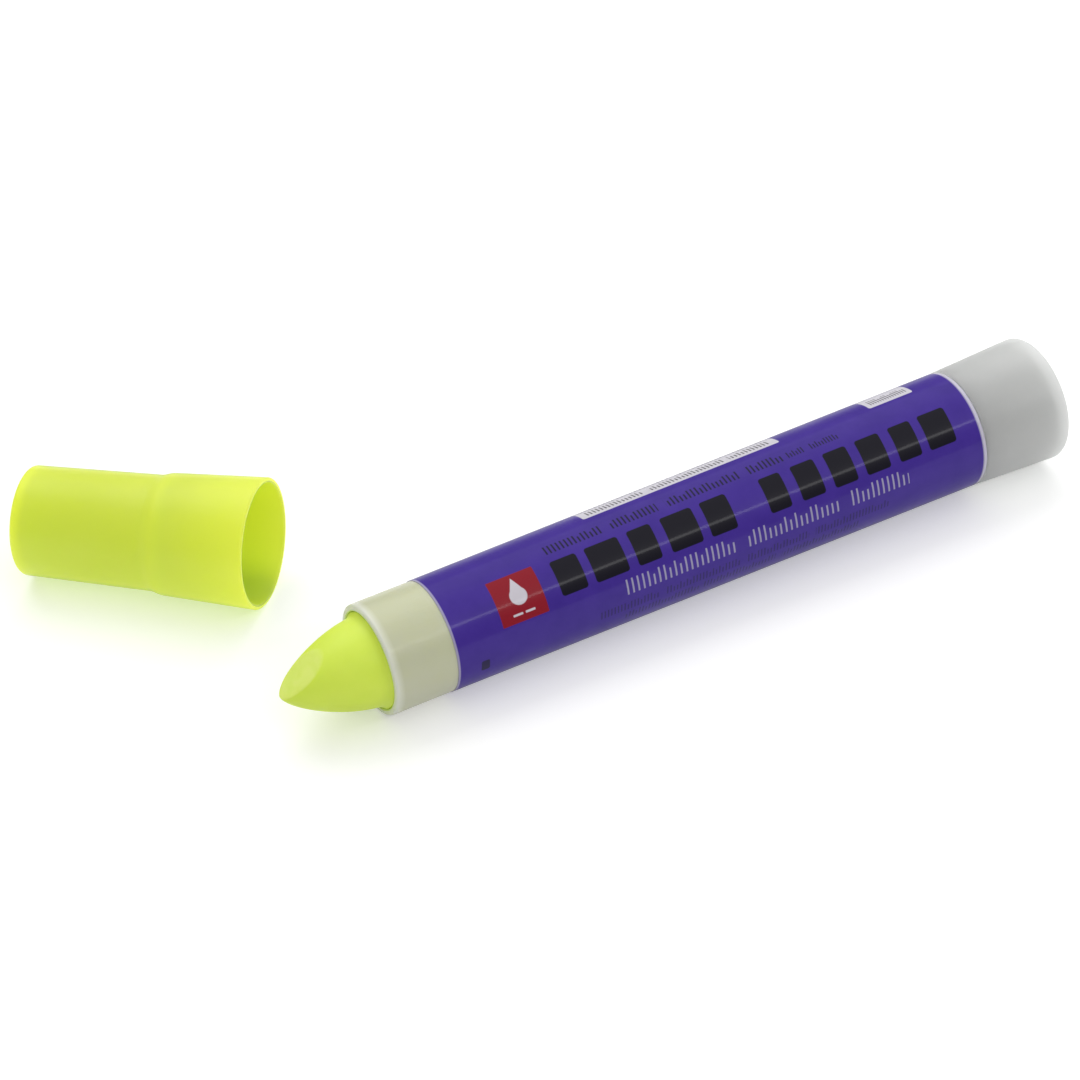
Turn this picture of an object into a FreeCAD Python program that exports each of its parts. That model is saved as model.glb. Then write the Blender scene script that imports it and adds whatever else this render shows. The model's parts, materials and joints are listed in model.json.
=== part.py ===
import FreeCAD, Part
import math
import os
import re
import Sketcher
from FreeCAD import Placement, Rotation, Vector

# Twist-up solid paint marker, lying on a table with its cap taken off and laid beside it.
# Millimetres. +Z is up, the table is at z = 0, and the origin is the middle of the whole footprint.
# The marker's axis lies along X: its paint points to -X and its twist knob to +X.
# Stations along the marker are measured from the barrel's mouth towards the knob.

# Driving sizes

sizes = {
    # Barrel: moulded tube with a straight neck for the cap, then an even draft to the rear
    "barrelLength": 96.3,
    "neckRadius": 8.12,
    "neckLength": 9.4,
    "barrelRearRadius": 8.62,
    "boreRadius": 7.15,
    "rimRounding": 0.25,
    "lipDepth": 2.5,
    "endWall": 1.6,
    "collarRadius": 7.3,
    "collarLength": 3.0,
    "collarWall": 1.3,
    # Keyways in the bore that keep the carrier from turning
    "keyCount": 4,
    "keyWidth": 1.6,
    "keyDepth": 0.35,
    # Clearances
    "slidingGap": 0.1,
    "runningGap": 0.1,
    "threadGap": 0.22,
    "faceGap": 0.25,
    # Printed film around the barrel
    "labelInset": 0.1,
    "labelMargin": 0.8,
    "labelThickness": 0.08,
    # Twist knob, flared towards its closed end
    "knobLength": 14.0,
    "knobFrontRadius": 8.74,
    "knobRearRadius": 9.34,
    "knobRounding": 1.6,
    "knobEndWall": 1.5,
    "knobMargin": 1.0,
    "bossRadius": 3.9,
    "webCount": 6,
    "webThickness": 0.9,
    "webSetback": 1.5,
    # Spindle: a coarse left-hand thread that turns with the knob
    "spindleStart": 10.0,
    "coreRadius": 2.0,
    "crestRadius": 3.0,
    "threadLead": 8.0,
    "threadRoot": 2.2,
    "threadCrest": 1.2,
    "threadRunOut": 1.5,
    "threadSink": 0.4,
    "journalRadius": 2.5,
    "flangeRadius": 6.2,
    "flangeThickness": 1.3,
    "driveWidth": 3.4,
    "driveLength": 7.0,
    # Carrier: the cup that holds the paint and rides on the thread
    "carrierSetback": 35.5,
    "cupDepth": 8.0,
    "cupWall": 0.5,
    "cupFloor": 2.0,
    "hubLength": 10.0,
    "hubRadius": 4.7,
    # Paint stick: one smooth curve from the blunt tip to the straight stick
    "stickReach": 13.7,
    "stickRadius": 7.05,
    "noseWidth": 1.7,
    "noseShoulder": 6.4,
    "noseLength": 18.1,
    "stickBore": 3.4,
    "solidTip": 10.8,
    # Cap: two drafted stages with a sloping shoulder between them
    "capLength": 35.7,
    "capEndRadius": 7.97,
    "capStageRadius": 8.38,
    "capStageLength": 20.0,
    "capShoulderLength": 1.3,
    "capShoulderRadius": 8.8,
    "capMouthRadius": 9.48,
    "capRounding": 0.6,
    "capRimRounding": 0.3,
    "capEndWall": 1.2,
    "capWall": 0.85,
    "capRimWall": 0.75,
    "capSocketLength": 8.5,
    "capLeadIn": 5.0,
}

# Where the cap lies: its mouth's centre from the barrel's mouth, and the turn of its axis in plan
capPlace = {
    "along": -1.23,
    "aside": 29.7,
    "turn": -45.1,
}

# Lengths that follow the barrel's
labelLength = "barrelLength - neckLength - labelInset - labelMargin"
carrierStation = "barrelLength - carrierSetback"

# Flats that a rounded end is made of, and splines that the paint's nose is made of
roundSteps = 3
noseSteps = 8

# How far apart a sketch's corners start out, before their sizes place them
sketchSpread = 10

document = FreeCAD.newDocument("PaintMarker")
sheet = document.addObject("Spreadsheet::Sheet", "Sizes")
for row, (alias, value) in enumerate(sizes.items(), start=1):
    sheet.set(f"A{row}", alias)
    sheet.set(f"B{row}", str(value))
    sheet.setAlias(f"B{row}", alias)
document.recompute()


# Helpers

def bound(text):
    """Put the sheet's name before each size in an expression."""
    def named(word):
        return f"Sizes.{word.group()}" if word.group() in sizes else word.group()
    return re.sub(r"[A-Za-z]+", named, text)


def newBody(label):
    body = document.addObject("PartDesign::Body", label)
    body.Label = label
    return body


def newSketch(body, name, role, offset=None):
    """A sketch on one of the body's own origin planes, lifted by an expression if one is given."""
    sketch = body.newObject("Sketcher::SketchObject", name)
    plane = next(item for item in body.Origin.OriginFeatures if item.Role == role)
    sketch.AttachmentSupport = (plane, [""])
    sketch.MapMode = "FlatFace"
    if offset:
        sketch.setExpression("AttachmentOffset.Base.z", bound(offset))
    return sketch


def bindConstraint(sketch, constraint, expression):
    index = sketch.addConstraint(constraint)
    sketch.setExpression(f"Constraints[{index}]", bound(expression))


def bindPoint(sketch, geometry, end, across, up):
    """Tie one end of a sketch side to its two coordinates, both expressions."""
    bindConstraint(sketch, Sketcher.Constraint("DistanceX", -1, 1, geometry, end, 1.0), across)
    bindConstraint(sketch, Sketcher.Constraint("DistanceY", -1, 1, geometry, end, 1.0), up)


def outline(sketch, corners):
    """Sides from corner to corner, each corner a pair of expressions for across and up.

    A corner's third item, if it has one, lists the inner poles of the spline that starts there. The
    spline of a drafted wall has none, so it is straight.
    """
    count = len(corners)
    spots = [Vector(2 + math.cos(turn), 2 + math.sin(turn), 0) * sketchSpread for turn in range(count)]
    sides = []
    for number, corner in enumerate(corners):
        start, end = spots[number], spots[(number + 1) % count]
        if len(corner) == 2:
            sides.append(sketch.addGeometry(Part.LineSegment(start, end)))
            continue
        inner = corner[2]
        degree = len(inner) + 1
        spline = Part.BSplineCurve()
        poles = [start + (end - start) * (step / degree) for step in range(degree + 1)]
        spline.buildFromPoles(poles, False, degree)
        side = sketch.addGeometry(spline)
        sides.append(side)
        if inner:
            sketch.exposeInternalGeometry(side)
        for pole, (across, up) in enumerate(inner, start=2):
            bindPoint(sketch, side + pole, 3, across, up)
    for number, (side, corner) in enumerate(zip(sides, corners)):
        sketch.addConstraint(Sketcher.Constraint("Coincident", sides[number - 1], 2, side, 1))
        bindPoint(sketch, side, 1, corner[0], corner[1])


def halfway(first, second):
    return tuple(f"(({one}) + ({other})) / 2" for one, other in zip(first, second))


def rim(radius, height, rounding, side, steps=1):
    """The corners of an eased rim, from its end face to the wall.

    Side is 1 if the piece runs on upwards from the end face, or -1 if it runs on downwards.
    """
    corners = []
    for step in range(steps + 1):
        turn = math.pi / 2 * step / steps
        inward, onward = 1 - math.sin(turn), side * (1 - math.cos(turn))
        corners.append((f"{radius} - {rounding} * {inward:.6f}", f"{height} + {rounding} * {onward:.6f}"))
    return corners


def wall(*corners):
    """A wall through the corners, each side of it a straight spline. The last corner ends the wall."""
    return [(*corner, []) for corner in corners[:-1]] + [corners[-1]]


def rectangle(sketch, halfWidth, near, far):
    """A rectangle between two distances along the sketch's X, centred on it."""
    otherHalf = f"-({halfWidth})"
    outline(sketch, [(near, otherHalf), (far, otherHalf), (far, halfWidth), (near, halfWidth)])


def revolved(body, name, corners):
    """Turn a section, given as radius and height, about the body's Z axis."""
    sketch = newSketch(body, name + "Section", "XZ_Plane")
    outline(sketch, corners)
    feature = body.newObject("PartDesign::Revolution", name)
    feature.Profile = sketch
    feature.ReferenceAxis = (sketch, ["V_Axis"])
    feature.Angle = 360
    document.recompute()
    return feature


def padded(body, name, sketch, length):
    feature = body.newObject("PartDesign::Pad", name)
    feature.Profile = sketch
    feature.setExpression("Length", bound(length))
    document.recompute()
    return feature


def pocketed(body, name, sketch, length):
    """Cut a sketch out of the body towards +Z."""
    feature = body.newObject("PartDesign::Pocket", name)
    feature.Profile = sketch
    feature.Reversed = True
    feature.setExpression("Length", bound(length))
    document.recompute()
    return feature


def repeated(body, name, original, count):
    """Copy a feature evenly around the body's Z axis."""
    pattern = body.newObject("PartDesign::PolarPattern", name)
    pattern.Originals = [original]
    pattern.Axis = (next(item for item in body.Origin.OriginFeatures if item.Role == "Z_Axis"), [""])
    pattern.Angle = 360
    pattern.setExpression("Occurrences", bound(count))
    body.Tip = pattern
    document.recompute()
    return pattern


def threaded(body, name, kind, corners, height):
    """Wind a thread section, given as radius and height, left-handed around the body's Z axis."""
    sketch = newSketch(body, name + "Section", "XZ_Plane")
    outline(sketch, corners)
    helix = body.newObject(kind, name)
    helix.Profile = sketch
    helix.ReferenceAxis = (sketch, ["V_Axis"])
    helix.Mode = 0
    helix.LeftHanded = True
    helix.setExpression("Pitch", bound("threadLead"))
    helix.setExpression("Height", bound(height))
    document.recompute()
    return helix


# Barrel

def makeBarrel():
    body = newBody("barrel")
    wallInside = "barrelLength - endWall"
    revolved(body, "Tube", [
        ("boreRadius", "0"),
        *wall(*rim("neckRadius", "0", "rimRounding", 1)),
        *wall(("neckRadius", "neckLength"), ("barrelRearRadius", "barrelLength")),
        ("collarRadius", "barrelLength"),
        ("collarRadius", "barrelLength + collarLength"),
        ("collarRadius - collarWall", "barrelLength + collarLength"),
        ("collarRadius - collarWall", "barrelLength"),
        ("journalRadius + runningGap", "barrelLength"),
        ("journalRadius + runningGap", wallInside),
        ("boreRadius", wallInside),
    ])
    keyways = newSketch(body, "KeywaySection", "XY_Plane", "lipDepth")
    rectangle(keyways, "keyWidth / 2", "boreRadius - 2 * keyDepth", "boreRadius + keyDepth")
    keyway = pocketed(body, "Keyway", keyways, "barrelLength - endWall - lipDepth")
    repeated(body, "Keyways", keyway, "keyCount")
    return body


# Label

def makeLabel():
    body = newBody("label")
    draft = "(barrelRearRadius - neckRadius) / (barrelLength - neckLength)"
    front = f"neckRadius + {draft} * labelInset"
    rear = f"barrelRearRadius - {draft} * labelMargin"
    revolved(body, "Film", [
        *wall((f"{front} + labelThickness", "0"), (f"{rear} + labelThickness", labelLength)),
        *wall((rear, labelLength), (front, "0")),
    ])
    return body


# Knob

def makeKnob():
    body = newBody("knob")
    inside = "collarRadius + runningGap"
    floor = "knobLength - knobEndWall"
    front = ("knobFrontRadius", "0")
    rear = rim("knobRearRadius", "knobLength", "knobRounding", -1, roundSteps)
    revolved(body, "Shell", [
        (inside, "0"),
        *wall(front, halfway(front, rear[-1]), *reversed(rear)),
        ("0", "knobLength"),
        ("0", "knobMargin"),
        ("bossRadius", "knobMargin"),
        ("bossRadius", floor),
        (inside, floor),
    ])
    web = newSketch(body, "WebSection", "XY_Plane", "collarLength + webSetback")
    rectangle(web, "webThickness / 2", "bossRadius - webThickness / 2", f"{inside} + webThickness / 2")
    webPad = padded(body, "Web", web, "knobLength - knobEndWall - collarLength - webSetback")
    repeated(body, "Webs", webPad, "webCount")
    socket = newSketch(body, "SocketSection", "XY_Plane", "knobMargin")
    rectangle(socket, "driveWidth / 2", "-driveWidth / 2", "driveWidth / 2")
    pocketed(body, "Socket", socket, "driveLength - knobMargin + faceGap")
    return body


# Spindle

def makeSpindle():
    body = newBody("spindle")
    flangeRear = "barrelLength - endWall - faceGap - spindleStart"
    flangeFront = f"{flangeRear} - flangeThickness"
    journalRear = "barrelLength + faceGap - spindleStart"
    revolved(body, "Core", [
        ("0", "0"),
        ("coreRadius - threadRunOut / 2", "0"),
        ("coreRadius", "threadRunOut"),
        ("coreRadius", flangeFront),
        ("flangeRadius", flangeFront),
        ("flangeRadius", flangeRear),
        ("journalRadius", flangeRear),
        ("journalRadius", journalRear),
        ("0", journalRear),
    ])
    drive = newSketch(body, "DriveSection", "XY_Plane", journalRear)
    rectangle(drive, "driveWidth / 2", "-driveWidth / 2", "driveWidth / 2")
    padded(body, "Drive", drive, "driveLength")
    sunk = "coreRadius - threadSink"
    threaded(body, "Thread", "PartDesign::AdditiveHelix", [
        (sunk, "threadRunOut"),
        ("coreRadius", "threadRunOut"),
        ("crestRadius", "threadRunOut + (threadRoot - threadCrest) / 2"),
        ("crestRadius", "threadRunOut + (threadRoot + threadCrest) / 2"),
        ("coreRadius", "threadRunOut + threadRoot"),
        (sunk, "threadRunOut + threadRoot"),
    ], f"{flangeFront} - 2 * threadRunOut - threadRoot")
    return body


# Carrier

def makeCarrier():
    body = newBody("carrier")
    cupRadius = "boreRadius - slidingGap"
    minor = "coreRadius + threadGap"
    floor = "cupDepth + cupFloor"
    revolved(body, "Cup", [
        (f"{cupRadius} - cupWall", "0"),
        (cupRadius, "0"),
        (cupRadius, floor),
        ("hubRadius", floor),
        ("hubRadius", f"{floor} + hubLength"),
        (minor, f"{floor} + hubLength"),
        (minor, "cupDepth"),
        (f"{cupRadius} - cupWall", "cupDepth"),
    ])
    key = newSketch(body, "KeySection", "XY_Plane")
    keyTop = "boreRadius + keyDepth - slidingGap"
    rectangle(key, "keyWidth / 2 - slidingGap", f"{cupRadius} - cupWall / 2", keyTop)
    keyPad = padded(body, "Key", key, floor)
    repeated(body, "Keys", keyPad, "keyCount")
    # The groove starts one turn before the nut, in step with the spindle's thread
    phase = f"mod(spindleStart + threadRunOut - ({carrierStation}); threadLead)"
    start = f"{phase} + cupDepth - mod(cupDepth; threadLead) - threadLead"
    sunk = "coreRadius - threadGap"
    threaded(body, "Nut", "PartDesign::SubtractiveHelix", [
        (sunk, f"{start} - threadGap"),
        ("coreRadius + threadGap / 2", f"{start} - threadGap"),
        ("crestRadius + threadGap", f"{start} - threadGap + (threadRoot - threadCrest) / 2"),
        ("crestRadius + threadGap", f"{start} + threadGap + (threadRoot + threadCrest) / 2"),
        ("coreRadius + threadGap / 2", f"{start} + threadRoot + threadGap"),
        (sunk, f"{start} + threadRoot + threadGap"),
    ], "hubLength + cupFloor + 3 * threadLead")
    return body


# Paint stick

def noseCurve():
    """The nose is one cubic, cut into even parts: for each part its start and its two inner poles."""
    def pole(shares):
        first, second, third = shares
        three = first * second * third
        two = first * second + second * third + third * first - 3 * three
        one = first + second + third - 2 * two - 3 * three
        return (f"{one:.6f} * noseWidth + {two + three:.6f} * stickRadius",
                f"{two:.6f} * noseShoulder + {three:.6f} * noseLength")

    parts = []
    for step in range(noseSteps):
        start, end = step / noseSteps, (step + 1) / noseSteps
        parts.append((*pole([start] * 3), [pole([start, start, end]), pole([start, end, end])]))
    return parts


def makePaintStick():
    body = newBody("paint_stick")
    seatRadius = "boreRadius - slidingGap - cupWall"
    shoulder = f"stickReach + {carrierStation}"
    foot = f"{shoulder} + cupDepth"
    revolved(body, "Stick", [
        *noseCurve(),
        ("stickRadius", "noseLength"),
        ("stickRadius", shoulder),
        (seatRadius, shoulder),
        (seatRadius, foot),
        ("stickBore", foot),
        ("stickBore", "solidTip"),
        ("0", "solidTip"),
    ])
    return body


# Cap

def makeCap():
    body = newBody("cap")
    socketRadius = "neckRadius + slidingGap"
    socketStart = "capLength - capLeadIn"
    socketEnd = f"{socketStart} - capSocketLength"
    shoulder = ("capShoulderRadius", "capStageLength + capShoulderLength")
    mouth = rim("capMouthRadius", "capLength", "capRimRounding", -1)
    stageInside = ("capStageRadius - capWall", socketEnd)
    endInside = ("capEndRadius - capWall", "capEndWall")
    revolved(body, "Shell", [
        ("0", "0"),
        *wall(*rim("capEndRadius", "0", "capRounding", 1, roundSteps),
              ("capStageRadius", "capStageLength"), shoulder,
              halfway(shoulder, mouth[-1]), *reversed(mouth)),
        *wall(("capMouthRadius - capRimWall", "capLength"), (socketRadius, socketStart)),
        (socketRadius, socketEnd),
        *wall(stageInside, halfway(stageInside, endInside), endInside),
        ("0", "capEndWall"),
    ])
    return body


# How the pieces lie

def restingPose(corners):
    """Tilt of the axis, and its height at station 0, for a round piece that lies on its widest corner."""
    wideStation, wideRadius = max(corners, key=lambda corner: corner[1])
    tilt = min(math.atan2(wideRadius - radius, wideStation - station)
               for station, radius in corners if station < wideStation)
    return tilt, wideRadius * math.cos(tilt) - wideStation * math.sin(tilt)


def lyingPlacement(tilt, turn, origin, station):
    """Place a piece whose own Z runs along an axis that lies down, at a station along that axis."""
    rotation = Rotation(Vector(0, 0, 1), turn) * Rotation(Vector(0, 1, 0), 90 - math.degrees(tilt))
    return Placement(origin + rotation.multVec(Vector(0, 0, station)), rotation)


def markerPose():
    knobEnd = sizes["barrelLength"] + sizes["faceGap"] + sizes["knobLength"]
    return restingPose([
        (sizes["rimRounding"], sizes["neckRadius"]),
        (sizes["neckLength"] + sizes["labelInset"], sizes["neckRadius"] + sizes["labelThickness"]),
        (knobEnd - sizes["knobRounding"], sizes["knobRearRadius"]),
    ])


def capPose():
    return restingPose([
        (sizes["capRounding"], sizes["capEndRadius"]),
        (sizes["capStageLength"] + sizes["capShoulderLength"], sizes["capShoulderRadius"]),
        (sizes["capLength"] - sizes["capRimRounding"], sizes["capMouthRadius"]),
    ])


def layDown(stations, cap):
    """Lay the marker along X and the cap beside it, then centre their footprint on the origin."""
    tilt, height = markerPose()
    for body, station in stations.items():
        body.Placement = lyingPlacement(tilt, 0, Vector(0, 0, height), station)
    capTilt, capHeight = capPose()
    turn = math.radians(capPlace["turn"])
    reach = sizes["capLength"] * math.cos(capTilt)
    closedEnd = Vector(capPlace["along"] - reach * math.cos(turn),
                       capPlace["aside"] - reach * math.sin(turn), capHeight)
    cap.Placement = lyingPlacement(capTilt, capPlace["turn"], closedEnd, 0)
    bodies = [*stations, cap]
    document.recompute()
    box = Part.makeCompound([body.Shape for body in bodies]).optimalBoundingBox(False, False)
    middle = Vector(box.Center.x, box.Center.y, 0)
    for body in bodies:
        body.Placement = Placement(body.Placement.Base - middle, body.Placement.Rotation)
    document.recompute()


barrel = makeBarrel()
label = makeLabel()
knob = makeKnob()
spindle = makeSpindle()
carrier = makeCarrier()
paintStick = makePaintStick()
cap = makeCap()

layDown({
    barrel: 0,
    label: sizes["neckLength"] + sizes["labelInset"],
    knob: sizes["barrelLength"] + sizes["faceGap"],
    spindle: sizes["spindleStart"],
    carrier: sizes["barrelLength"] - sizes["carrierSetback"],
    paintStick: -sizes["stickReach"],
}, cap)

# Check and write the pieces

for item in document.Objects:
    if "Invalid" in item.State or "Error" in item.State:
        raise RuntimeError(f"{item.Name} did not build: {item.State}")
pieces = [barrel, label, knob, spindle, carrier, paintStick, cap]
for piece in pieces:
    if piece.Shape.isNull() or not piece.Shape.isValid():
        raise RuntimeError(f"{piece.Label} has no valid shape")

os.makedirs("parts", exist_ok=True)
for piece in pieces:
    piece.Shape.exportStep(f"parts/{piece.Label}.step")
    print(piece.Label, round(piece.Shape.Volume, 1), "mm3", len(piece.Shape.Solids), "solid")
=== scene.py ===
import json
import math
import bmesh
import bpy
from mathutils import Matrix, Vector


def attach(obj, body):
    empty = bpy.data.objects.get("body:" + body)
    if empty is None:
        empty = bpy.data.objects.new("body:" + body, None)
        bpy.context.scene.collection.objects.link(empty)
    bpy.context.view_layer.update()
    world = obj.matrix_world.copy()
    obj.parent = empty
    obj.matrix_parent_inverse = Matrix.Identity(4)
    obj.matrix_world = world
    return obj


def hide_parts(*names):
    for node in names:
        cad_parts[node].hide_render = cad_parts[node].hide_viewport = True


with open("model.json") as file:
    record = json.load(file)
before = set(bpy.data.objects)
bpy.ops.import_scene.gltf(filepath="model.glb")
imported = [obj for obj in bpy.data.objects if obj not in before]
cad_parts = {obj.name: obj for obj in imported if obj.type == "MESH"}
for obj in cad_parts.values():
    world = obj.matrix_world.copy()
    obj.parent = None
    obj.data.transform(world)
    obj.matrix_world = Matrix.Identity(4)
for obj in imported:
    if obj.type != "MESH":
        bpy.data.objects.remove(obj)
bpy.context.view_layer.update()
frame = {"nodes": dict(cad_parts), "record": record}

mm = 0.001
tiny = 0.001 * mm
scene = bpy.context.scene
print("frame loaded:", sorted(frame["nodes"]))


# Where the marker and the cap lie, from the frame's own mounts
mounts = {mount["name"]: mount for mount in frame["record"]["mounts"]}
# the mounts' stations in mm: from the barrel's mouth, and from the cap's closed end
mountStation = {"barrel_neck": 4.7, "cap_socket": 26.45}


def lying(mount, outward):
    # a local frame: Z runs along the piece from station 0, X is up, Y points to the near side
    along = Vector(mounts[mount]["axis"]).normalized() * outward
    side = along.cross(Vector((0, 0, 1))).normalized()
    up = side.cross(along)
    place = Matrix((up, side, along)).transposed().to_4x4()
    place.translation = Vector(mounts[mount]["pos_m"]) - along * mountStation[mount] * mm
    return place


markerPlace = lying("barrel_neck", -1)
capPlace = lying("cap_socket", 1)


# Modelling

def sectionOf(corners, roundings):
    # a wire through (radius, station) corners in mm; roundings are {corner number: (offset, segments)}
    section = bmesh.new()
    points = [section.verts.new((radius * mm, 0, station * mm)) for radius, station in corners]
    for start, end in zip(points, points[1:]):
        section.edges.new((start, end))
    for number, (offset, segments) in roundings.items():
        bmesh.ops.bevel(section, geom=[points[number]], affect="VERTICES", offset=offset * mm,
                        offset_type="OFFSET", segments=segments, profile=0.5, material=-1)
    return section


def turned(section, steps):
    bmesh.ops.spin(section, geom=section.verts[:] + section.edges[:], cent=(0, 0, 0), axis=(0, 0, 1),
                   angle=math.tau, steps=steps, use_merge=True)
    bmesh.ops.remove_doubles(section, verts=section.verts, dist=tiny)
    bmesh.ops.recalc_face_normals(section, faces=section.faces)
    return section


# whole turns added to the map on the faces of a bore, to tell them from the outer ones
boreTurns = 4


def wrapMap(shape, start=0.0):
    # u is the station in decimetres from start, v the turn round the piece, 0.5 at the top
    layer = shape.loops.layers.uv.new("wrap")
    for face in shape.faces:
        middle = face.calc_center_median()
        home = math.atan2(middle.y, middle.x)
        more = boreTurns if face.normal.xy.dot(middle.xy) < -tiny else 0
        for loop in face.loops:
            x, y, z = loop.vert.co
            turn = math.atan2(y, x) if math.hypot(x, y) > tiny else home
            turn += math.tau * round((home - turn) / math.tau)
            loop[layer].uv = ((z - start * mm) * 10, turn / math.tau + 0.5 + more)


def finished(name, shape, place, node, body, material):
    shape.transform(place)
    mesh = bpy.data.meshes.new(name)
    shape.to_mesh(mesh)
    shape.free()
    for face in mesh.polygons:
        face.use_smooth = True
    mesh.set_sharp_from_angle(angle=math.radians(40))
    piece = bpy.data.objects.new(name, mesh)
    scene.collection.objects.link(piece)
    piece.data.materials.append(material)
    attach(piece, body)
    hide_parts(node)


# Materials

class Signal:
    def __init__(self, tree, socket=None):
        self.tree, self.socket = tree, socket

    def node(self, kind, inputs, settings=None, outlet=0):
        made = self.tree.nodes.new(kind)
        for name, value in (settings or {}).items():
            setattr(made, name, value)
        for key, value in inputs.items():
            if isinstance(value, Signal):
                self.tree.links.new(value.socket, made.inputs[key])
            else:
                made.inputs[key].default_value = value
        return Signal(self.tree, made.outputs[outlet])

    def outlet(self, key):
        # another output of the same node
        return Signal(self.tree, self.socket.node.outputs[key])

    def math(self, operation, *values, clamp=False):
        settings = {"operation": operation, "use_clamp": clamp}
        return self.node("ShaderNodeMath", dict(enumerate(values)), settings)

    def __add__(self, other):
        return self.math("ADD", self, other)

    def __radd__(self, other):
        return self.math("ADD", other, self)

    def __sub__(self, other):
        return self.math("SUBTRACT", self, other)

    def __rsub__(self, other):
        return self.math("SUBTRACT", other, self)

    def __mul__(self, other):
        return self.math("MULTIPLY", self, other)

    def __rmul__(self, other):
        return self.math("MULTIPLY", other, self)

    def __truediv__(self, other):
        return self.math("DIVIDE", self, other)

    def __abs__(self):
        return self.math("ABSOLUTE", self)

    def larger(self, other):
        return self.math("MAXIMUM", self, other)

    def root(self):
        return self.math("SQRT", self)

    def clamped(self, scale, offset):
        return self.math("MULTIPLY_ADD", self, scale, offset, clamp=True)

    def over(self, edge, soft):
        # 0 below the edge, 1 above it, soft wide
        return self.clamped(1 / soft, 0.5 - edge / soft)

    def between(self, low, high, soft):
        return self.over(low, soft) * self.clamped(-1 / soft, 0.5 + high / soft)

    def mix(self, first, second):
        # colours mixed by this signal
        return self.node("ShaderNodeMix", {0: self, 6: first, 7: second}, {"data_type": "RGBA"}, outlet=2)

    def noise(self, scale, detail=2.0, rough=0.5, **more):
        inputs = {"Vector": self, "Scale": scale, "Detail": detail, "Roughness": rough}
        return self.node("ShaderNodeTexNoise", {**inputs, **more})


def srgb(red, green, blue):
    def linear(value):
        value /= 255
        return value / 12.92 if value <= 0.04045 else ((value + 0.055) / 1.055) ** 2.4
    return (linear(red), linear(green), linear(blue), 1)


def newFinish(name, **constants):
    material = bpy.data.materials.new(name)
    material.use_nodes = True
    shader = material.node_tree.nodes["Principled BSDF"]
    for key, value in constants.items():
        shader.inputs[key.replace("_", " ")].default_value = value
    return material, shader, Signal(material.node_tree)


def feed(shader, signals):
    for key, signal in signals.items():
        signal.tree.links.new(signal.socket, shader.inputs[key])


def coordinates(start):
    return start.node("ShaderNodeTexCoord", {}).outlet("Object")


def wrapCoordinates(start):
    # station in mm, and angle in degrees from the top, more towards the near side
    turns = start.node("ShaderNodeUVMap", {}, {"uv_map": "wrap"})
    split = start.node("ShaderNodeSeparateXYZ", {0: turns})
    return split.outlet(0) * 100, (split.outlet(1) - 0.5) * 360


def inBore(angle):
    return angle.over(boreTurns * 180, 10)


def grazing(start):
    return start.node("ShaderNodeLayerWeight", {"Blend": 0.5}, outlet=1)


def flowAlong(station, angle, lengthwise, around, scale, detail, rough):
    # noise drawn out along the piece, as a mould leaves it
    place = station.node("ShaderNodeCombineXYZ", {0: station * lengthwise, 1: angle * around})
    return place.noise(scale, detail, rough)


def bumped(height, strength, distance):
    return height.node("ShaderNodeBump", {"Height": height, "Strength": strength, "Distance": distance})


# Barrel: neck, rim and collar

barrel = {
    "length": 96.3, "boreRadius": 7.15, "neckRadius": 8.12, "neckLength": 9.4, "rearRadius": 8.62,
    "endWall": 1.6, "collarRadius": 7.3, "collarWall": 1.3, "collarLength": 3, "spindleHole": 2.6,
    "innerRim": (0.22, 4), "outerRim": (0.42, 6), "rearRim": (0.12, 3), "collarRim": (0.25, 3),
    "colour": srgb(206, 207, 186), "shade": srgb(197, 198, 176), "tinge": srgb(208, 212, 164),
    "paintedLipHighlight": srgb(236, 238, 226), "residue": srgb(214, 238, 96), "ring": srgb(206, 201, 217),
    "roughness": 0.4, "coat": 0.2, "coatRoughness": 0.16, "subsurface": 0.5, "depth": 1.5}


def barrelRadius(station):
    taper = (barrel["rearRadius"] - barrel["neckRadius"]) / (barrel["length"] - barrel["neckLength"])
    return barrel["neckRadius"] + taper * (station - barrel["neckLength"])


def barrelCorners():
    bore, neck, neckLength = barrel["boreRadius"], barrel["neckRadius"], barrel["neckLength"]
    end = barrel["length"]
    wallStart = end - barrel["endWall"]
    collar, collarEnd = barrel["collarRadius"], end + barrel["collarLength"]
    collarBore, hole = collar - barrel["collarWall"], barrel["spindleHole"]
    return [(bore, wallStart), (bore, 0), (neck, 0), (neck, neckLength), (barrel["rearRadius"], end),
            (collar, end), (collar, collarEnd), (collarBore, collarEnd), (collarBore, end), (hole, end),
            (hole, wallStart), (bore, wallStart)]


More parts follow.
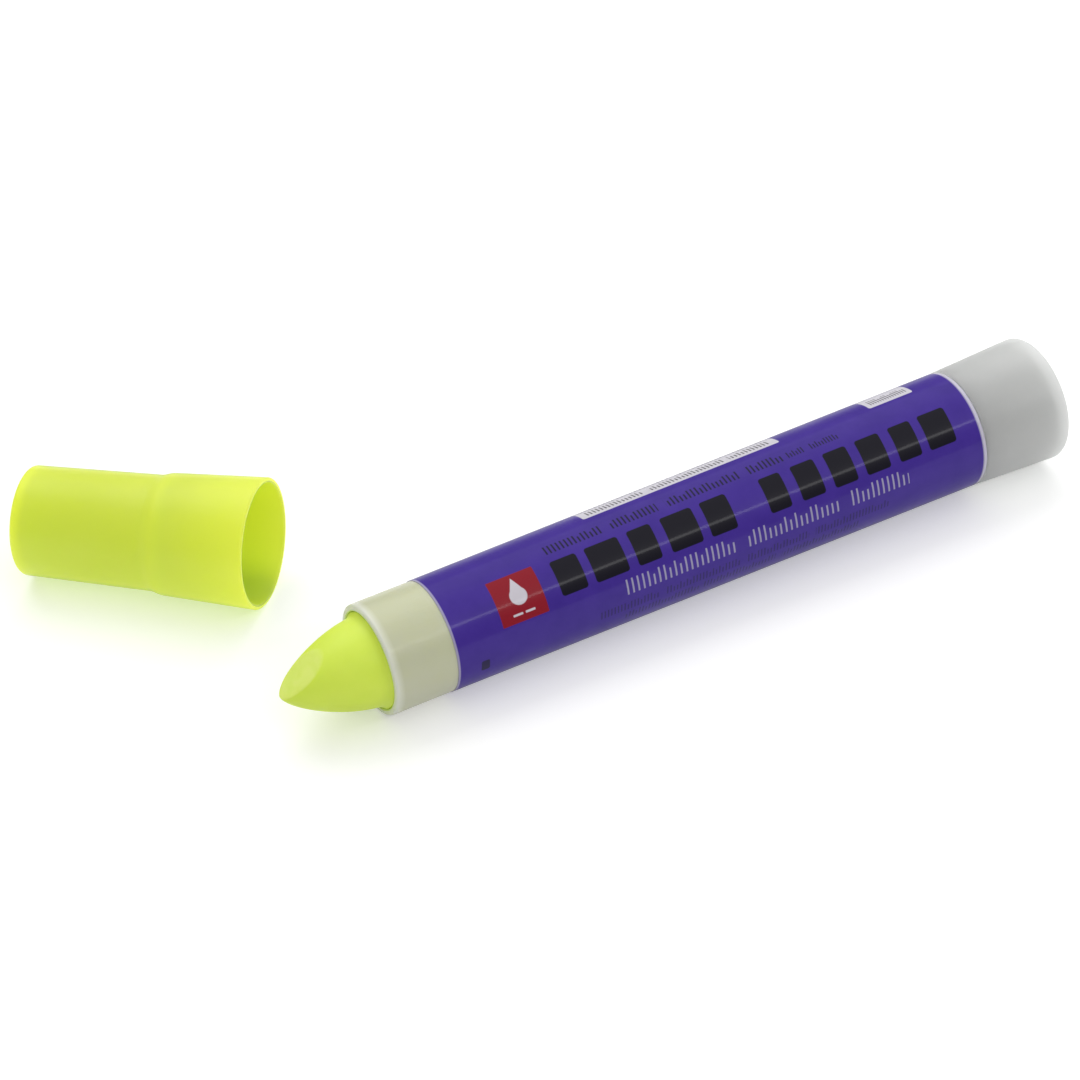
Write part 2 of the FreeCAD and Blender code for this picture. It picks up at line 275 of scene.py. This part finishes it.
def barrelFinish(look):
    material, shader, start = newFinish(
        "barrelPolyethylene", IOR=1.5, Subsurface_Weight=look["subsurface"],
        Subsurface_Scale=look["depth"] * mm, Subsurface_Radius=(1.0, 0.9, 0.6), Coat_Weight=look["coat"],
        Coat_Roughness=look["coatRoughness"])
    station, angle = wrapCoordinates(start)
    cloudy = coordinates(start).noise(90, 3, 0.6)
    flow = flowAlong(station, angle, 0.05, 0.12, 3, 3, 0.6)
    tone = cloudy.over(0.5, 0.5).mix(look["colour"], look["shade"])
    # the paint behind shows through the neck
    tone = (station.between(-1, 12, 3) * 0.55 * cloudy.over(0.42, 0.4)).mix(tone, look["tinge"])
    # painted highlight: the rim at the mouth is given a paler colour, where the translucent lip catches the
    # light from above
    tone = station.clamped(-0.7, 0.95).mix(tone, look["paintedLipHighlight"])
    # a pale ring behind the film, and paint left in the bore by the mouth
    tone = station.over(95.4, 0.3).mix(tone, look["ring"])
    residue = inBore(angle) * station.clamped(-0.16, 1.1) * cloudy.over(0.35, 0.3)
    feed(shader, {"Base Color": residue.mix(tone, look["residue"]),
                  "Roughness": flow * 0.16 + (look["roughness"] - 0.08),
                  "Normal": bumped(flow + cloudy * 0.6, 0.25, 0.00006)})
    return material


barrelRims = {2: barrel["outerRim"], 1: barrel["innerRim"], 4: barrel["rearRim"], 6: barrel["collarRim"]}
barrelShape = turned(sectionOf(barrelCorners(), barrelRims), 192)
wrapMap(barrelShape)
finished("barrelTube", barrelShape, markerPlace, "barrel", "root", barrelFinish(barrel))
print("barrel made")


# Label

# stations in mm from the film's front edge, angles in degrees from the top towards the near side; arc is the
# mm round the film in one degree; a line of small print is (its words, near angle, far angle, pitch)
label = {
    "from": 9.5, "to": 95.75, "thickness": 0.08, "arc": 0.148, "seam": -150,
    "violet": srgb(70, 46, 152), "violetShade": srgb(62, 39, 142), "black": srgb(12, 11, 15),
    "white": srgb(214, 211, 220), "red": srgb(146, 22, 38), "edge": srgb(190, 184, 210),
    "paintedGrazingShade": srgb(40, 27, 86), "roughness": 0.35, "coat": 0.22, "coatRoughness": 0.1,
    "boldWords": [(16.3, 46.4, 5), (50, 82.7, 6)], "boldFrom": 23.9, "boldTo": 59.7, "boldInk": 0.98,
    "headings": [([(17.6, 26.6), (28.1, 35.7), (37.1, 49.1), (50.5, 56.3)], 5, 15.5, 0.66),
                 ([(57.1, 59.9), (60.8, 65.6)], 7, 14.5, 0.48)],
    "headingInk": 0.9,
    "paleLine": ([(26.7, 44.6), (46.4, 61.8), (63.7, 73.4)], 67, 83, 0.86), "paleInk": 0.54,
    "faintLines": [([(22.3, 31.7), (32.8, 45.1), (46, 56.4), (57.5, 70)], 91, 100.5, 0.53),
                   ([(26.4, 38.4), (39.2, 51), (52.1, 65)], 104.5, 114, 0.53)],
    "faintInk": 0.55,
    # a panel is (middle station, middle in mm round the film, half its length, half its height)
    "panels": [(41.95, -6.8, 16.15, 5.05), (76.65, -4.6, 3.75, 3.5)],
    "panelLines": [([(26.8, 36), (37, 49.3), (50.2, 57)], -26, -16, 0.58),
                   ([(26.8, 41.5), (42.6, 57)], -42, -32, 0.74), ([(73.6, 79.8)], -24, -12, 0.42)],
    "panelInk": 0.85, "dot": (4.2, 14.75), "dotInk": 0.8, "fieldStation": 11.15, "fieldAngle": 43.95,
    "signInk": 0.95}


def labelCorners():
    front, back, thickness = label["from"], label["to"], label["thickness"]
    return [(barrelRadius(front), front), (barrelRadius(front) + thickness, front),
            (barrelRadius(back) + thickness, back), (barrelRadius(back), back), (barrelRadius(front), front)]


def labelFinish(look):
    material, shader, start = newFinish("violetFilm", IOR=1.5, Specular_IOR_Level=0.1,
                                        Coat_Roughness=look["coatRoughness"])
    station, angle = wrapCoordinates(start)
    arc = angle * look["arc"]
    inked = coordinates(start).noise(260, 3, 0.6)

    def plate(across, up, halfLength, halfHeight, rounding, soft=0.1):
        # a round-cornered plate about a middle, all in mm
        sideways = (abs(across) - halfLength + rounding).larger(0)
        upright = (abs(up) - halfHeight + rounding).larger(0)
        reach = (sideways * sideways + upright * upright).root()
        return (rounding - reach).clamped(1 / soft, 0.5)

    def cells(low, pitch, row):
        # how far into its cell in mm, and the cell's own chance
        count = (station - low) / pitch
        number = start.math("FLOOR", count)
        seed = {"W": number + row * 17.3}
        chance = start.node("ShaderNodeTexWhiteNoise", seed, {"noise_dimensions": "1D"})
        return (count - number) * pitch, chance

    def strokes(line, row, share=0.4):
        # short upright strokes, grouped like words, a third of them lower than the rest
        words, near, far, pitch = line
        spot, chance = cells(words[0][0], pitch, row)
        height = (far - near) * look["arc"]
        rise = far * look["arc"] - arc
        tall = chance.over(0.35, 0.01) * (height * 0.3) + height * 0.7
        mark = spot.between(0.1, pitch * share + 0.1, 0.12)
        mark = mark * rise.over(height * 0.02, 0.12) * (tall - rise).clamped(8, 0.5)
        return mark * sum(station.between(low, high, 0.02) for low, high in words)

    def lines(rows, firstRow):
        return sum(strokes(line, firstRow + number) for number, line in enumerate(rows))

    def blocks(word, row):
        # bold plain blocks of several widths in one line
        low, high, count = word
        pitch = (high - low) / count
        spot, chance = cells(low, pitch, row)
        half = chance * (pitch * 0.13) + pitch * 0.31
        middle = (look["boldFrom"] + look["boldTo"]) / 2 * look["arc"]
        tall = (look["boldTo"] - look["boldFrom"]) / 2 * look["arc"]
        return plate(spot - pitch / 2, arc - middle, half, tall, 0.45) * station.between(low, high, 0.02)

    colour = inked.over(0.5, 0.5).mix(look["violet"], look["violetShade"])
    bold = sum(blocks(word, 1 + number) for number, word in enumerate(look["boldWords"]))
    colour = (bold * look["boldInk"]).mix(colour, look["black"])
    colour = (lines(look["headings"], 4) * look["headingInk"]).mix(colour, look["black"])
    colour = (strokes(look["paleLine"], 3, 0.3) * look["paleInk"]).mix(colour, look["white"])
    colour = (lines(look["faintLines"], 6) * look["faintInk"]).mix(colour, look["black"])
    dotStation, dotArc = look["dot"]
    dot = plate(station - dotStation, arc - dotArc, 0.65, 0.95, 0.3)
    colour = (dot * look["dotInk"]).mix(colour, look["black"])

    # white panels over the top, with lines of print on them
    panels = sum(plate(station - middle, arc - height, halfLength, halfHeight, 0.35)
                 for middle, height, halfLength, halfHeight in look["panels"])
    colour = panels.mix(colour, look["white"])
    colour = (lines(look["panelLines"], 8) * panels * look["panelInk"]).mix(colour, look["black"])

    # a red field with a pale drop and two pale dashes
    across = station - look["fieldStation"]
    down = arc - look["fieldAngle"] * look["arc"]
    field = plate(across, down, 3.6, 3.5, 0.12)
    low = down + 0.15
    belly = (1.3 - (across * across + low * low).root()).clamped(8, 0.5)
    point = ((low + 2.75) * 0.5 - abs(across)).clamped(8, 0.5) * low.between(-2.8, -0.45, 0.1)
    dashes = plate(abs(across) - 0.95, down - 2.35, 0.75, 0.16, 0.1)
    sign = belly.larger(point).larger(dashes)
    colour = field.mix(colour, look["red"])
    colour = (sign * field * look["signInk"]).mix(colour, look["white"])

    # cut edges of the film, and the seam where it overlaps itself at the back
    margin = 1 - station.between(0.3, 86.1, 0.15)
    seam = angle.between(look["seam"] - 0.4, look["seam"] + 0.4, 0.5)
    colour = (margin * 0.7).larger(seam * 0.35).mix(colour, look["edge"])
    # painted shade: the film is darkened towards its silhouette, at grazing angles
    facing = grazing(start)
    colour = (facing.clamped(4, -3) * 0.6).mix(colour, look["paintedGrazingShade"])
    ripple = flowAlong(station, angle, 0.02, 0.02, 4, 2, 0.5)
    overlap = angle.over(look["seam"], 0.8)
    feed(shader, {"Base Color": colour, "Roughness": inked * 0.12 + (look["roughness"] - 0.06),
                  "Coat Weight": facing.clamped(-1.5, 1.4) * look["coat"],
                  "Normal": bumped(ripple + inked * 0.1 + overlap * 0.4, 0.12, 0.0001)})
    return material


labelShape = turned(sectionOf(labelCorners(), {}), 256)
wrapMap(labelShape, label["from"])
finished("labelWrap", labelShape, markerPlace, "label", "root", labelFinish(label))
print("label made")


# Knob

knob = {
    "from": 96.38, "to": 110.55, "boreRadius": 7.4, "frontRadius": 8.735, "rearRadius": 9.34, "endWall": 1.5,
    "bossRadius": 3.9, "bossFrom": 97.55, "gateRadius": 1.1, "gateDepth": 0.15, "rearRounding": (0.8, 8),
    "frontRounding": (0.09, 3), "colour": srgb(229, 233, 227), "shade": srgb(222, 227, 221),
    "roughness": 0.45, "subsurface": 1.0, "depth": 12}


def knobCorners():
    front, end, bore, boss = knob["from"], knob["to"], knob["boreRadius"], knob["bossRadius"]
    gate, gateDepth = knob["gateRadius"], knob["gateDepth"]
    wallStart = end - knob["endWall"]
    return [(bore, front), (knob["frontRadius"], front), (knob["rearRadius"], end), (gate, end),
            (gate - gateDepth, end - gateDepth), (0, end - gateDepth), (0, knob["bossFrom"]),
            (boss, knob["bossFrom"]), (boss, wallStart), (bore, wallStart), (bore, front)]


def knobFinish(look):
    material, shader, start = newFinish(
        "knobPolyethylene", IOR=1.5, Subsurface_Weight=look["subsurface"],
        Subsurface_Scale=look["depth"] * mm, Subsurface_Radius=(1.0, 1.0, 1.0))
    place = coordinates(start)
    cloudy = place.noise(110, 3, 0.55)
    fine = place.noise(1800, 2, 0.6)
    feed(shader, {"Base Color": cloudy.over(0.5, 0.5).mix(look["colour"], look["shade"]),
                  "Roughness": cloudy * 0.15 + (look["roughness"] - 0.07),
                  "Normal": bumped(cloudy * 0.6 + fine * 0.15, 0.25, 0.00008)})
    return material


knobShape = turned(sectionOf(knobCorners(), {2: knob["rearRounding"], 1: knob["frontRounding"]}), 192)
wrapMap(knobShape)
finished("twistKnob", knobShape, markerPlace, "knob", "twist", knobFinish(knob))
print("knob made")


# Paint stick

# the nose is one curve from the tip to the shoulder, and the smear closes it to the rim; facet is the way the
# worn side faces, and facetFrom its distance in mm from the middle of the barrel's mouth
paint = {
    "tip": -13.7, "tipWidth": 1.7, "shoulder": (6.45, -1), "shoulderBefore": (5.7, -7.2),
    "shoulderAfter": (6.6, 0.4), "smear": [(6.52, -0.6), (6.7, -0.25)], "radius": 7.05, "bodyFrom": 0.1,
    "footRadius": 6.55, "footFrom": 60.8, "footEnd": 68.8, "boreRadius": 3.4, "boreEnd": -2.9,
    "facet": (0.785, 0.009, -0.617), "facetFrom": 8.17, "facetPress": 0.9,
    "colour": srgb(221, 241, 88), "shade": srgb(213, 235, 76), "paintedFacetHighlight": srgb(230, 246, 124),
    "roughness": 0.5, "subsurface": 0.5, "depth": 1.6, "glow": 0.09}


def noseWire():
    curve = bpy.data.curves.new("noseWire", "CURVE")
    curve.dimensions = "3D"
    curve.resolution_u = 40
    spline = curve.splines.new("BEZIER")
    spline.bezier_points.add(1)
    tip, width = paint["tip"], paint["tipWidth"]
    ends = [((0, tip), (-width, tip), (width, tip)),
            (paint["shoulder"], paint["shoulderBefore"], paint["shoulderAfter"])]
    for point, places in zip(spline.bezier_points, ends):
        point.handle_left_type = point.handle_right_type = "FREE"
        spots = [(radius * mm, 0, station * mm) for radius, station in places]
        point.co, point.handle_left, point.handle_right = spots
    drawn = bpy.data.objects.new("noseWire", curve)
    scene.collection.objects.link(drawn)
    wire = bpy.data.meshes.new_from_object(drawn)
    bpy.data.objects.remove(drawn)
    shape = bmesh.new()
    shape.from_mesh(wire)
    return shape


def paintCorners():
    radius, foot, bore = paint["radius"], paint["footRadius"], paint["boreRadius"]
    return paint["smear"] + [(radius, paint["bodyFrom"]), (radius, paint["footFrom"]),
                             (foot, paint["footFrom"]), (foot, paint["footEnd"]), (bore, paint["footEnd"]),
                             (bore, paint["boreEnd"]), (0, paint["boreEnd"])]


def lengthen(shape, corners):
    # carries the wire on from its last point through these corners
    last = max(shape.verts, key=lambda vert: vert.co.z)
    for radius, station in corners:
        following = shape.verts.new((radius * mm, 0, station * mm))
        shape.edges.new((last, following))
        last = following


def wearSide(shape):
    # the worn side of the tip, pressed onto a plane
    facet = Vector(paint["facet"]).normalized()
    for vert in shape.verts:
        beyond = vert.co.dot(facet) - paint["facetFrom"] * mm
        if beyond > 0 and vert.co.z < 0:
            vert.co -= facet * beyond * paint["facetPress"]
    bmesh.ops.recalc_face_normals(shape, faces=shape.faces)


def paintFinish(look):
    material, shader, start = newFinish(
        "waxyPaint", IOR=1.45, Subsurface_Weight=look["subsurface"], Subsurface_Scale=look["depth"] * mm,
        Subsurface_Radius=(0.9, 1.0, 0.25), Emission_Strength=look["glow"])
    place = coordinates(start)
    cloudy = place.noise(140, 3, 0.6)
    grain = place.noise(1400, 3, 0.65)
    smear = place.noise(320, 4, 0.6, Distortion=0.8)
    tone = cloudy.over(0.5, 0.6).mix(look["colour"], look["shade"])
    # the worn facet is painted paler: a painted highlight where its flat side catches the light
    facet = markerPlace.to_3x3() @ Vector(look["facet"]).normalized()
    plane = look["facetFrom"] + facet.dot(markerPlace.translation) / mm
    reach = place.node("ShaderNodeVectorMath", {0: place, 1: facet}, {"operation": "DOT_PRODUCT"}, outlet=1)
    paintedFacetHighlight = (reach / mm).over(plane - 0.06, 0.16) * smear.clamped(1.5, 0)
    tone = paintedFacetHighlight.mix(tone, look["paintedFacetHighlight"])
    # the paint also glows in its own colour: partly its fluorescence, partly painted light that lifts its
    # shading
    feed(shader, {"Base Color": tone, "Emission Color": tone,
                  "Roughness": smear * 0.25 + (look["roughness"] - 0.12),
                  "Normal": bumped(smear + grain * 0.25, 0.35, 0.00012)})
    return material


paintShape = noseWire()
lengthen(paintShape, paintCorners())
turned(paintShape, 160)
wearSide(paintShape)
wrapMap(paintShape)
finished("paintStick", paintShape, markerPlace, "paint_stick", "stick", paintFinish(paint))
print("paint made")


# Cap

cap = {
    "length": 35.7, "endRadius": 7.97, "stageRadius": 8.38, "stageLength": 20, "shoulderRadius": 8.8,
    "shoulderLength": 1.3, "mouthRadius": 9.48, "wall": 0.85, "rimWall": 0.75, "endWall": 1.2,
    "socketRadius": 8.22, "socketLength": 8.5, "leadIn": 5, "gateRadius": 1.1, "gateDepth": 0.15,
    "endRounding": (0.6, 8), "stageRounding": (0.5, 5), "mouthRounding": (0.3, 5), "rimRounding": (0.25, 4),
    "insideRounding": (0.8, 5), "colour": srgb(215, 238, 74), "shade": srgb(211, 234, 64),
    "edge": srgb(140, 140, 70), "inside": srgb(150, 170, 56), "roughness": 0.4, "subsurface": 1.0,
    "depth": 12, "glow": 0.31}


def capCorners():
    gate, gateDepth = cap["gateRadius"], cap["gateDepth"]
    mouth, stage, wall = cap["length"], cap["stageLength"], cap["wall"]
    socketEnd = mouth - cap["leadIn"]
    socketStart = socketEnd - cap["socketLength"]
    return [(0, gateDepth), (gate - gateDepth, gateDepth), (gate, 0), (cap["endRadius"], 0),
            (cap["stageRadius"], stage), (cap["shoulderRadius"], stage + cap["shoulderLength"]),
            (cap["mouthRadius"], mouth), (cap["mouthRadius"] - cap["rimWall"], mouth),
            (cap["socketRadius"], socketEnd), (cap["socketRadius"], socketStart),
            (cap["stageRadius"] - wall, socketStart), (cap["endRadius"] - wall, cap["endWall"]),
            (0, cap["endWall"])]


def capFinish(look):
    material, shader, start = newFinish(
        "capPolypropylene", IOR=1.49, Subsurface_Weight=look["subsurface"],
        Subsurface_Scale=look["depth"] * mm, Subsurface_Radius=(0.9, 1.0, 0.2), Specular_IOR_Level=0.3,
        Emission_Strength=look["glow"])
    place = coordinates(start)
    station, angle = wrapCoordinates(start)
    flow = flowAlong(station, angle, 0.06, 0.1, 2.5, 3, 0.6)
    tone = place.noise(80, 2, 0.5).over(0.5, 0.5).mix(look["colour"], look["shade"])
    # painted shade: the cap is darkened towards its silhouette, at grazing angles, in the edge colour
    tone = (grazing(start).clamped(4, -3) * 0.8).mix(tone, look["edge"])
    # painted shade: the cap's bore is given a darker colour than its outside
    tone = inBore(angle).mix(tone, look["inside"])
    # the cap also glows in its own colour: partly its fluorescence, partly painted light that flattens its
    # shading
    feed(shader, {"Base Color": tone, "Emission Color": tone,
                  "Roughness": flow * 0.14 + (look["roughness"] - 0.07),
                  "Normal": bumped(flow + place.noise(900, 2) * 0.12, 0.2, 0.00006)})
    return material


capRoundings = {3: cap["endRounding"], 4: cap["stageRounding"], 5: cap["stageRounding"],
                6: cap["mouthRounding"], 7: cap["rimRounding"], 11: cap["insideRounding"]}
capShape = turned(sectionOf(capCorners(), capRoundings), 192)
wrapMap(capShape)
finished("capShell", capShape, capPlace, "cap", "root", capFinish(cap))
print("cap made")


# Parts that stay inside

inner = {"colour": srgb(226, 226, 222), "shade": srgb(214, 214, 210), "roughness": 0.45}


def innerFinish(look):
    material, shader, start = newFinish("innerPlastic", IOR=1.5)
    cloudy = coordinates(start).noise(120, 3, 0.6)
    feed(shader, {"Base Color": cloudy.over(0.5, 0.5).mix(look["colour"], look["shade"]),
                  "Roughness": cloudy * 0.2 + (look["roughness"] - 0.1),
                  "Normal": bumped(cloudy, 0.15, 0.00006)})
    return material


innerMaterial = innerFinish(inner)
for name in ("spindle", "carrier"):
    node = frame["nodes"][name]
    node.data.materials.clear()
    node.data.materials.append(innerMaterial)
print("inner parts coloured")


# Floor, lights and camera

# a lamp is (left, right, front and back edge in metres, height, radiance)
studio = {
    "floorSize": 2, "floorTones": [(0.8, 0.8, 0.8, 1), (0.82, 0.82, 0.82, 1)], "floorGlow": 0.36,
    "world": 0.34,
    "lamps": {"overhead": (-0.4, 1.5, -0.9, 1.3, 0.9, 0.6), "key": (-0.4, 1.0, 0.2, 1.3, 0.9, 1.5),
              "strip": (-0.4, 1.5, -1.05, -0.9, 0.9, 6)}}


def makeFloor():
    floorShape = bmesh.new()
    bmesh.ops.create_grid(floorShape, x_segments=1, y_segments=1, size=studio["floorSize"])
    mesh = bpy.data.meshes.new("floor")
    floorShape.to_mesh(mesh)
    floorShape.free()
    floor = bpy.data.objects.new("floor", mesh)
    scene.collection.objects.link(floor)
    floor.location.z = -0.02 * mm
    material, shader, start = newFinish("floorPaint", Roughness=0.9, Specular_IOR_Level=0.1,
                                        Emission_Strength=studio["floorGlow"])
    seen = start.node("ShaderNodeLightPath", {}).outlet("Is Camera Ray")
    shown = (seen + seen.outlet("Is Glossy Ray") + seen.outlet("Is Transmission Ray")).clamped(1, 0)
    feed(shader, {"Base Color": coordinates(start).noise(3, 2).mix(*studio["floorTones"]),
                  "Emission Color": shown.mix((0, 0, 0, 1), (1, 1, 1, 1))})
    mesh.materials.append(material)


def addLamp(name, left, right, front, back, height, radiance):
    # a level softbox between these edges, shining straight down
    lamp = bpy.data.lights.new(name, "AREA")
    lamp.shape = "RECTANGLE"
    lamp.size, lamp.size_y = right - left, back - front
    lamp.energy = radiance * math.pi * lamp.size * lamp.size_y
    holder = bpy.data.objects.new(name, lamp)
    scene.collection.objects.link(holder)
    holder.location = ((left + right) / 2, (front + back) / 2, height)
    holder.visible_camera = False


def lightWorld():
    world = bpy.data.worlds.new("studio")
    scene.world = world
    world.use_nodes = True
    background = world.node_tree.nodes["Background"]
    background.inputs["Color"].default_value = (1, 1, 1, 1)
    background.inputs["Strength"].default_value = studio["world"]


# the camera stands aside from the barrel's mouth by (x, y) mm, at a height over the table in mm
view = {"lens": 126.12, "fromMouth": (-165.33, -365.23), "height": 334.96,
        "forward": (0.36991, 0.70122, -0.60947), "right": (0.86832, -0.49425, -0.04164)}


def makeCamera():
    forward = Vector(view["forward"]).normalized()
    right = Vector(view["right"]).normalized()
    right = (right - forward * right.dot(forward)).normalized()
    place = Matrix((right, right.cross(forward), -forward)).transposed().to_4x4()
    aside, back = view["fromMouth"]
    mouth = markerPlace.translation
    place.translation = (mouth.x + aside * mm, mouth.y + back * mm, view["height"] * mm)
    data = bpy.data.cameras.new("camera")
    data.lens = view["lens"]
    data.sensor_width = 36
    data.clip_start, data.clip_end = 0.01, 10
    camera = bpy.data.objects.new("camera", data)
    scene.collection.objects.link(camera)
    camera.matrix_world = place
    scene.camera = camera


makeFloor()
for lampName, lampPlace in studio["lamps"].items():
    addLamp(lampName, *lampPlace)
lightWorld()
makeCamera()
scene.view_settings.view_transform = "Standard"
print("stage set")
